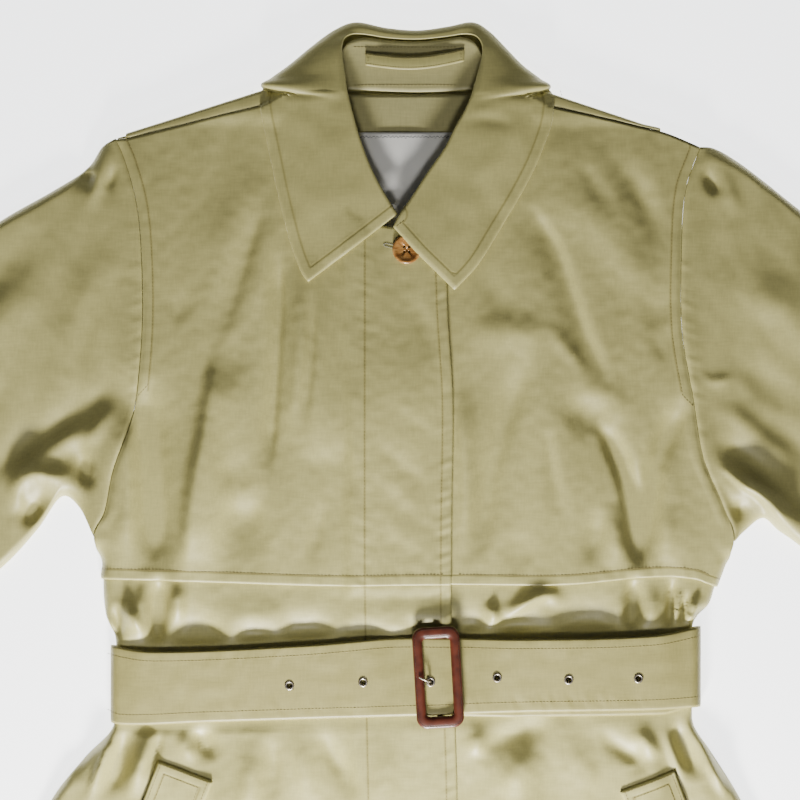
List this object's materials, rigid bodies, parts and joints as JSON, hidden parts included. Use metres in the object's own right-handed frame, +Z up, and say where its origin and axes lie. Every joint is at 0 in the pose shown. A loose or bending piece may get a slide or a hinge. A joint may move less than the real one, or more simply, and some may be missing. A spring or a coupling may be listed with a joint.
{
  "type": "trench coat",
  "caption": "Belted khaki gabardine trench coat laid out flat and face up, with point collar, storm flaps, set-in sleeves and a leather covered buckle.",
  "frame": {"origin": "on the surface under the coat, midway between the two cuffs and between the collar's top and the hem", "axes": "+X to the wearer's left, +Y towards the collar, +Z up from the surface"},
  "size_m": [1.3, 1.0384, 0.0229],
  "materials": {
    "gabardine": "cotton gabardine with a soft satin sheen",
    "woven_label": "white woven label, bare",
    "horn": "polished amber brown horn look",
    "leather": "polished red brown leather, stitched",
    "metal": "aged nickel"
  },
  "bodies": {
    "root": {"back": "gabardine", "neck_facing": "gabardine", "front_left": "gabardine", "cape_left": "gabardine", "front_right": "gabardine", "cape_right": "gabardine", "sleeve_right_under": "gabardine", "sleeve_right_top": "gabardine", "sleeve_left_under": "gabardine", "sleeve_left_top": "gabardine", "pocket_welt_right": "gabardine", "pocket_welt_left": "gabardine", "collar_stand": "gabardine", "collar_fall": "gabardine", "hanger_loop": "gabardine", "belt": "gabardine", "label": "woven_label", "button": "horn", "buckle": "leather", "prong": "metal", "eyelet_1": "metal", "eyelet_2": "metal", "eyelet_3": "metal", "eyelet_4": "metal", "eyelet_5": "metal", "eyelet_6": "metal"}
  },
  "joints": []
}
